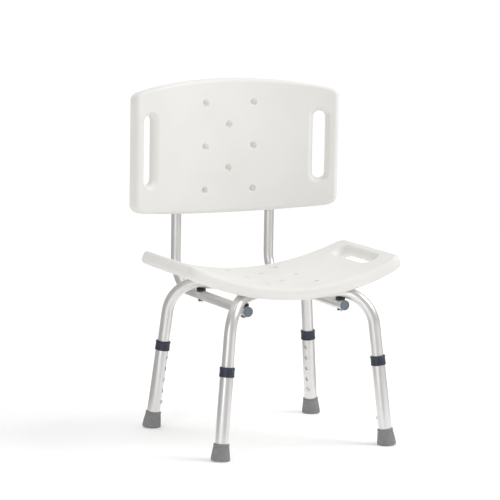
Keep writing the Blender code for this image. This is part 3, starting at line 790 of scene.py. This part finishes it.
def build_rivet():
    low = RUN_HEIGHT - LEG_RADIUS - GAP
    high = RUN_HEIGHT + LEG_RADIUS + GAP
    outline = softened([
        (0.0, low - 0.0022, 0.0), (0.0042, low - 0.0019, 0.0015), (0.0060, low, 0.0004), (0.0030, low, 0.0),
        (0.0030, high, 0.0),
        (0.0060, high, 0.0004),
        (0.0042, high + 0.0019, 0.0015),
        (0.0, high + 0.0022, 0.0),
    ])
    mesh = lathe("rivet", outline, 32)
    place = Matrix.Translation((0.0, SHIFT, 0.0))
    add_piece("crossing_rivet_domed", mesh, ZINC, "frame", ["crossing_rivet"], "zinc_steel", 38, place)


def build_lower_leg(leg):
    outline = softened([
        (LOWER_BORE, 0.100, 0.0),
        (LOWER_BORE, LOWER_BOTTOM, 0.0003),
        (LOWER_RADIUS, LOWER_BOTTOM, 0.0004),
        (LOWER_RADIUS, LOWER_TOP, 0.0004),
        (LOWER_BORE, LOWER_TOP, 0.0003),
        (LOWER_BORE, 0.101, 0.0),
    ], 3)
    place = leg_matrix(leg)
    mesh = lathe("tube", outline, 48, ring=True)
    cutters = []
    hole_outline = (
        (0.008, HOLE_RADIUS),
        (0.01385, HOLE_RADIUS),
        (0.0144, HOLE_RADIUS + 0.0005),
        (0.020, HOLE_RADIUS + 0.006),
    )
    for k in range(HOLE_COUNT):
        height = BUTTON_HEIGHT + k * HOLE_PITCH
        bm = bmesh.new()
        rings = []
        for reach, radius in hole_outline:
            rings.append([Vector((reach, p.x, height + p.y)) for p in circle(radius, 28)])
        skin(bm, rings)
        cutters.append(cutter("hole", to_mesh("hole", bm)))
    mesh = carve("lower_leg", mesh, cutters)
    drop(cutters)
    shaded_faces = []
    for face in mesh.polygons:
        middle = face.center
        reach = math.hypot(middle.x, middle.y)
        in_wall = LOWER_BORE + 0.0001 < reach < LOWER_RADIUS + 0.0001
        lowest = BUTTON_HEIGHT - HOLE_MARGIN
        highest = BUTTON_HEIGHT + (HOLE_COUNT - 1) * HOLE_PITCH + HOLE_MARGIN
        by_hole = lowest < middle.z < highest and abs(middle.y) < HOLE_RADIUS + 0.001
        if in_wall and by_hole and face.area < WALL_FACE_AREA:
            shaded_faces.append(face.index)
    name = "telescoping_leg_" + leg
    add_piece(name, mesh, ALUMINIUM, "leg_" + leg, ["lower_leg_" + leg], "satin_aluminium", 38, place)
    # The small faces that line each hole get the painted shade, a near-black material in place of the shade inside
    # the hole.
    mesh.materials.append(HOLE_SHADE_LOOK)
    for index in shaded_faces:
        mesh.polygons[index].material_index = 1


def build_collar(leg):
    """Clamping collar: two soft lips with a shallow waist between them, and a fine line round it."""
    bore = LEG_RADIUS + 0.00035
    seat = LOWER_RADIUS + GAP
    step = LOWER_TOP + GAP
    outline = softened([
        (bore, step, 0.0),
        (seat, step, 0.0002),
        (seat, COLLAR_BOTTOM, 0.0004),
        (0.0159, COLLAR_BOTTOM, 0.0006),
        (0.0165, COLLAR_BOTTOM + 0.0010, 0.0006),
        (0.01645, COLLAR_BOTTOM + 0.0034, 0.0006),
        (0.0160, COLLAR_BOTTOM + 0.0046, 0.0008),
        (0.01597, COLLAR_TOP - 0.0095, 0.0002),
        (0.01575, COLLAR_TOP - 0.0093, 0.0001),
        (0.01575, COLLAR_TOP - 0.0089, 0.0001),
        (0.01597, COLLAR_TOP - 0.0087, 0.0002),
        (0.0160, COLLAR_TOP - 0.0048, 0.0008),
        (0.01645, COLLAR_TOP - 0.0036, 0.0006),
        (0.0165, COLLAR_TOP - 0.0012, 0.0008),
        (0.0156, COLLAR_TOP, 0.0007),
        (bore, COLLAR_TOP, 0.0004),
        (bore, step + 0.002, 0.0),
    ])
    mesh = lathe("collar", outline, 56, ring=True)
    name = "clamp_collar_" + leg
    add_piece(name, mesh, NAVY, "leg_" + leg, ["collar_" + leg], "navy_plastic", 38, leg_matrix(leg))


def build_tip(leg, floor):
    """Rubber foot: rolled lip at the top, waisted neck, flared skirt and a treaded sole."""
    socket = LOWER_RADIUS + GAP
    base = LOWER_BOTTOM - GAP
    outline = softened([
        (0.0, 0.0003, 0.0),
        (0.0050, 0.0003, 0.0002),
        (0.0054, 0.0012, 0.0002),
        (0.0068, 0.0012, 0.0002),
        (0.0072, 0.0003, 0.0002),
        (0.0110, 0.0003, 0.0002),
        (0.0114, 0.0012, 0.0002),
        (0.0128, 0.0012, 0.0002),
        (0.0132, 0.0003, 0.0002),
        (0.0199, 0.0003, 0.0010),
        (0.0208, 0.0022, 0.0012),
        (0.0203, 0.0080, 0.0030),
        (0.0173, TIP_TOP - 0.0072, 0.0030),
        (0.01665, TIP_TOP - 0.0058, 0.0008),
        (0.01710, TIP_TOP - 0.0048, 0.0007),
        (0.0172, TIP_TOP - 0.0012, 0.0010),
        (0.0163, TIP_TOP, 0.0008),
        (socket, TIP_TOP, 0.0005),
        (socket, base, 0.0),
        (0.0, base, 0.0),
    ])
    mesh = carve("tip", lathe("tip", outline, 64), [floor], leg_matrix(leg))
    name = "rubber_foot_" + leg
    add_piece(name, mesh, RUBBER, "leg_" + leg, ["rubber_tip_" + leg], "grey_rubber", 38, leg_matrix(leg))


def build_button(leg):
    """Sprung pin: flange inside the tube, straight neck, domed end."""
    place = leg_matrix(leg) @ Matrix.Translation((0.0, 0.0, BUTTON_HEIGHT))
    outward = place @ Matrix.Rotation(math.radians(90), 4, "Y")
    outline = softened([
        (0.0, 0.0092, 0.0),
        (0.0047, 0.0092, 0.0002),
        (0.0047, 0.0099, 0.0002),
        (0.0036, 0.0099, 0.0001),
        (0.0036, 0.0166, 0.0016),
        (0.0026, 0.0178, 0.0012),
        (0.0, 0.0180, 0.0),
    ], 6)
    mesh = lathe("button", outline, 36)
    name = "spring_pin_" + leg
    add_piece(name, mesh, ZINC, "button_" + leg, ["snap_button_" + leg], "zinc_steel", 38, outward)


# ---- rails, fixings -----------------------------------------------------------------------------

def build_back_tube(side, sx):
    x = sx * RAIL_X
    front = Vector((x, RAIL_FRONT, RAIL_HEIGHT))
    corner = Vector((x, BACK_TUBE_Y, RAIL_HEIGHT))
    top = Vector((x, BACK_TUBE_Y, BACK_TUBE_TOP))
    points = [front, front + Vector((0.0, 0.02, 0.0)), front + Vector((0.0, 0.15, 0.0))]
    points += rounded_corner(front, corner, top, RAIL_BEND, 30)
    points += [Vector((x, BACK_TUBE_Y, 0.45)), Vector((x, BACK_TUBE_Y, 0.60)), top]
    mesh = tube("rail", points, RAIL_RADIUS, RAIL_WALL, 40)
    name = "back_tube_" + side
    add_piece("rail_and_" + name, mesh, ALUMINIUM, "frame", [name], "satin_aluminium")


def build_rail_cap(side, sx):
    """Push-in end plug: low dome, soft shoulder, hollow plug inside the tube."""
    turn = Matrix.Rotation(math.radians(90), 4, "X")
    place = Matrix.Translation((sx * RAIL_X, RAIL_FRONT, RAIL_HEIGHT)) @ turn
    bore = RAIL_RADIUS - RAIL_WALL - GAP
    outline = softened([
        (0.0, 0.0029, 0.0),
        (0.0050, 0.0029, 0.0010),
        (0.0096, 0.0024, 0.0014),
        (0.0112, 0.0014, 0.0009),
        (0.0112, GAP, 0.0002),
        (bore, GAP, 0.0),
        (bore, -0.0110, 0.0004),
        (bore - 0.0016, -0.0110, 0.0002),
        (bore - 0.0016, 0.0, 0.0),
        (0.0, 0.0, 0.0),
    ], 6)
    mesh = lathe("cap", outline, 48)
    name = "rail_cap_" + side
    add_piece("domed_" + name, mesh, CAP_BLUE, "frame", [name], "grey_blue_plastic", 38, place)


def build_saddle(leg, beds):
    """Black spacer shaped to the rail below it and the leg run above it."""
    x, y = bolt_place(leg)
    outline = softened([
        (BOLT_HOLE, SADDLE_BOTTOM, 0.0),
        (SADDLE_RADIUS, SADDLE_BOTTOM, SADDLE_ROUND),
        (SADDLE_RADIUS, SADDLE_TOP, SADDLE_ROUND),
        (BOLT_HOLE, SADDLE_TOP, 0.0),
    ])
    mesh = lathe("saddle", outline, 48, ring=True)
    place = Matrix.Translation((x, y, 0.0))
    start = (x, y - 0.02, RAIL_HEIGHT)
    end = (x, y + 0.02, RAIL_HEIGHT)
    rail = cutter("rail_bed", round_cutter(start, end, RAIL_RADIUS + GAP, 64))
    bed = beds["rear_right" if leg in ("front_left", "rear_right") else "front_right"]
    mesh = carve("saddle", mesh, [rail, bed], place)
    drop([rail])
    add_piece("shaped_saddle_" + leg, mesh, BLACK, "frame", ["saddle_" + leg], "black_plastic", 38, place)


def leg_bed(first, second):
    """Solid a little thicker than a bent leg tube, to shape what rests against it."""
    corner_a = leg_point(first, RUN_HEIGHT)
    corner_b = leg_point(second, RUN_HEIGHT)
    end_a = leg_matrix(first) @ Vector((0.0, 0.0, LEG_END))
    end_b = leg_matrix(second) @ Vector((0.0, 0.0, LEG_END))
    points = [end_a] + rounded_corner(end_a, corner_a, corner_b, LEG_BEND, 26)
    points += rounded_corner(corner_a, corner_b, end_b, LEG_BEND, 26) + [end_b]
    rings = []
    side = (points[1] - points[0]).normalized().orthogonal().normalized()
    for k, point in enumerate(points):
        ahead = (points[min(k + 1, len(points) - 1)] - points[max(k - 1, 0)]).normalized()
        side = (side - ahead * side.dot(ahead)).normalized()
        up = ahead.cross(side)
        rings.append([point + side * p.x + up * p.y for p in circle(LEG_RADIUS + GAP, 40)])
    bm = bmesh.new()
    skin(bm, rings)
    return cutter("bed", to_mesh("bed", bm))


def build_fixings(leg):
    """Washer and the hexagon head of the bolt under a rail."""
    x, y = bolt_place(leg)
    low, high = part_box("bolt_washer_" + leg)
    outline = softened([
        (0.0034, low.z, 0.0), (0.0072, low.z, 0.0004), (0.0074, high.z, 0.0003), (0.0034, high.z, 0.0),
    ])
    place = Matrix.Translation((x, y, 0.0))
    mesh = lathe("washer", outline, 40, ring=True)
    add_piece("washer_" + leg, mesh, BLACK, "frame", ["bolt_washer_" + leg], "black_plastic", 38, place)
    low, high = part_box("seat_bolt_" + leg)
    top = low.z + 0.0036
    bm = bmesh.new()
    across = 0.0052
    turn = math.radians(17)
    rings = []
    head_levels = (
        (0.0, 0.80, 1),
        (0.0002, 0.86, 1),
        (0.0007, 1.0, 0),
        (0.0033, 1.0, 0),
        (0.0036, 0.97, 0),
    )
    for height, scale, dome in head_levels:
        ring = []
        for p in circle(across, 36):
            angle = math.atan2(p.y, p.x)
            flat = math.cos(math.pi / 6) / math.cos((angle % (math.pi / 3)) - math.pi / 6)
            reach = across * scale * (min(flat, 0.985) if not dome else 0.93)
            rim_x = reach * math.cos(angle + turn)
            rim_y = reach * math.sin(angle + turn)
            ring.append(Vector((rim_x, rim_y, low.z + height)))
        rings.append(ring)
    rings.append([Vector((p.x, p.y, top)) for p in circle(0.0030, 36)])
    rings.append([Vector((p.x, p.y, high.z)) for p in circle(0.0030, 36)])
    skin(bm, rings)
    mesh = to_mesh("bolt", bm)
    add_piece("hex_bolt_" + leg, mesh, ZINC, "frame", ["seat_bolt_" + leg], "zinc_steel", 30, place)


def build_screw(label, sx, height):
    """Pan head screw with a cross recess, driven from behind."""
    face = BACK_TUBE_Y + RAIL_RADIUS + GAP
    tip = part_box("back_screw_" + label)[0].y
    turn = Matrix.Rotation(math.radians(-90), 4, "X")
    place = Matrix.Translation((sx * RAIL_X, 0.0, height)) @ turn
    outline = softened([
        (0.0, tip, 0.0), (0.0012, tip, 0.0004), (0.0022, tip + 0.0018, 0.0004), (0.0022, face, 0.0),
        (0.0048, face, 0.0003), (0.0047, face + 0.0014, 0.0008), (0.0032, face + 0.0029, 0.0012),
        (0.0, face + 0.0031, 0.0),
    ], 5)
    mesh = lathe("screw", outline, 36)
    cutters = []
    for reach in ((0.0026, 0.0005), (0.0005, 0.0026)):
        bm = bmesh.new()
        rings = []
        for up, share in ((face + 0.0013, 0.55), (face + 0.0040, 1.0)):
            a, b = reach[0] * share, reach[1] * share
            rings.append([Vector((x, y, up)) for x, y in ((a, b), (-a, b), (-a, -b), (a, -b))])
        skin(bm, rings)
        cutters.append(cutter("recess", to_mesh("recess", bm)))
    mesh = carve("screw", mesh, cutters)
    drop(cutters)
    add_piece("cross_screw_" + label, mesh, ZINC, "frame", ["back_screw_" + label], "zinc_steel", 38, place)


# ---- build the chair ----------------------------------------------------------------------------

build_seat()
build_backrest()
build_leg_tube("leg_tube_upper", "front_left", "rear_right", True)
build_leg_tube("leg_tube_lower", "front_right", "rear_left", False)
build_rivet()

floor_bm = bmesh.new()
bmesh.ops.create_cube(floor_bm, size=1.0, matrix=Matrix.Translation((0.0, 0.0, -0.5)))
floor_block = cutter("floor_block", to_mesh("floor_block", floor_bm))
leg_beds = {
    "rear_right": leg_bed("front_left", "rear_right"),
    "front_right": leg_bed("front_right", "rear_left"),
}

for leg_name in LEGS:
    build_lower_leg(leg_name)
    build_collar(leg_name)
    build_tip(leg_name, floor_block)
    build_button(leg_name)
    build_saddle(leg_name, leg_beds)
    build_fixings(leg_name)

for side_name, side_sign in (("left", -1), ("right", 1)):
    build_back_tube(side_name, side_sign)
    build_rail_cap(side_name, side_sign)
    for level_name, level in zip(("low", "high"), SCREW_HEIGHTS):
        build_screw(level_name + "_" + side_name, side_sign, level)

drop([floor_block, *leg_beds.values()])

for piece, body, nodes, slot in PIECES:
    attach(piece, body)
    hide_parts(*nodes)

for leg_name in LEGS:
    spring = frame["nodes"]["snap_spring_" + leg_name]
    for spot in spring.material_slots:
        spot.material = ZINC

# ---- floor, light and camera --------------------------------------------------------------------

def build_sweep():
    """Floor that curves up into a backdrop."""
    profile = [(-14.0, 0.0), (4.5, 0.0)]
    for k in range(1, 17):
        turn = 0.5 * math.pi * k / 16
        profile.append((4.5 + 2.5 * math.sin(turn), 2.5 * (1 - math.cos(turn))))
    profile.append((7.0, 9.0))
    bm = bmesh.new()
    rows = [(bm.verts.new((-12.0, y, z)), bm.verts.new((12.0, y, z))) for y, z in profile]
    for (a, b), (c, d) in zip(rows, rows[1:]):
        bm.faces.new((a, b, d, c))
    made = bpy.data.objects.new("sweep", to_mesh("sweep", bm, False))
    bpy.context.scene.collection.objects.link(made)
    made.data.materials.append(make_floor())
    for face in made.data.polygons:
        face.use_smooth = True


def softbox(name, place, aim, size, power, colour=(1.0, 1.0, 1.0)):
    light = bpy.data.lights.new(name, "AREA")
    light.shape = "RECTANGLE"
    light.size, light.size_y = size
    light.energy = power
    light.color = colour
    made = bpy.data.objects.new(name, light)
    made.location = place
    made.rotation_euler = (Vector(aim) - Vector(place)).to_track_quat("-Z", "Y").to_euler()
    bpy.context.scene.collection.objects.link(made)


def dark_card(name, first, last, near, far, height, glow):
    """Grey card that only reflections see: it curves round the chair and lies on the floor before it."""
    facing = Vector((-math.sin(VIEW_TURN), -math.cos(VIEW_TURN), 0.0))
    beside = Vector((math.cos(VIEW_TURN), -math.sin(VIEW_TURN), 0.0))
    bm = bmesh.new()
    rows = []
    for k in range(13):
        turn = math.radians(first + (last - first) * k / 12)
        way = facing * math.cos(turn) + beside * math.sin(turn)
        low = way * near + Vector((0.0, 0.0, 0.003))
        rows.append([bm.verts.new(p) for p in (low, way * far, way * far + Vector((0.0, 0.0, height)))])
    for left, right in zip(rows, rows[1:]):
        bm.faces.new((left[0], right[0], right[1], left[1]))
        bm.faces.new((left[1], right[1], right[2], left[2]))
    made = bpy.data.objects.new(name, to_mesh(name, bm, False))
    bpy.context.scene.collection.objects.link(made)
    paint = bpy.data.materials.new(name)
    paint.use_nodes = True
    paint.node_tree.nodes.clear()
    lamp = paint.node_tree.nodes.new("ShaderNodeEmission")
    lamp.inputs["Strength"].default_value = glow
    end = paint.node_tree.nodes.new("ShaderNodeOutputMaterial")
    paint.node_tree.links.new(lamp.outputs["Emission"], end.inputs["Surface"])
    made.data.materials.append(paint)
    made.visible_camera = False
    made.visible_diffuse = False
    made.visible_shadow = False
    made.visible_transmission = False


build_sweep()
dark_card("card_left", -150.0, -46.0, 0.42, 1.1, 1.9, 0.42)
dark_card("card_front", 4.0, 40.0, 0.42, 1.3, 1.9, 0.55)
dark_card("card_right", 104.0, 165.0, 0.42, 1.1, 1.9, 0.50)
softbox("key", (2.6, -1.6, 3.0), (0.0, 0.0, 0.3), (1.8, 1.8), 76.0)
softbox("fill_left", (-3.2, -2.6, 1.4), (0.0, 0.0, 0.4), (1.6, 2.6), 26.0)
softbox("top", (0.0, 0.8, 4.2), (0.0, 0.0, 0.3), (3.0, 3.0), 36.0)

world = bpy.data.worlds.new("studio")
world.use_nodes = True
world.node_tree.nodes["Background"].inputs["Color"].default_value = (1.0, 1.0, 1.0, 1.0)
world.node_tree.nodes["Background"].inputs["Strength"].default_value = 0.50
bpy.context.scene.world = world
bpy.context.scene.view_settings.view_transform = "Standard"

camera = bpy.data.objects.new("camera", bpy.data.cameras.new("camera"))
camera.data.lens = VIEW_LENS
camera.data.sensor_width = 36.0
camera.data.clip_end = 60.0
right = Vector((math.cos(VIEW_TURN), -math.sin(VIEW_TURN), 0.0))
level = Vector((math.sin(VIEW_TURN), math.cos(VIEW_TURN), 0.0))
ahead = level * math.cos(VIEW_DROP) - Vector((0.0, 0.0, math.sin(VIEW_DROP)))
up = right.cross(ahead)
across = right * math.cos(VIEW_ROLL) + up * math.sin(VIEW_ROLL)
upward = up * math.cos(VIEW_ROLL) - right * math.sin(VIEW_ROLL)
turn = Matrix((across, upward, -ahead)).transposed().to_4x4()
camera.matrix_world = Matrix.Translation(VIEW_PLACE) @ turn
bpy.context.scene.collection.objects.link(camera)
bpy.context.scene.camera = camera
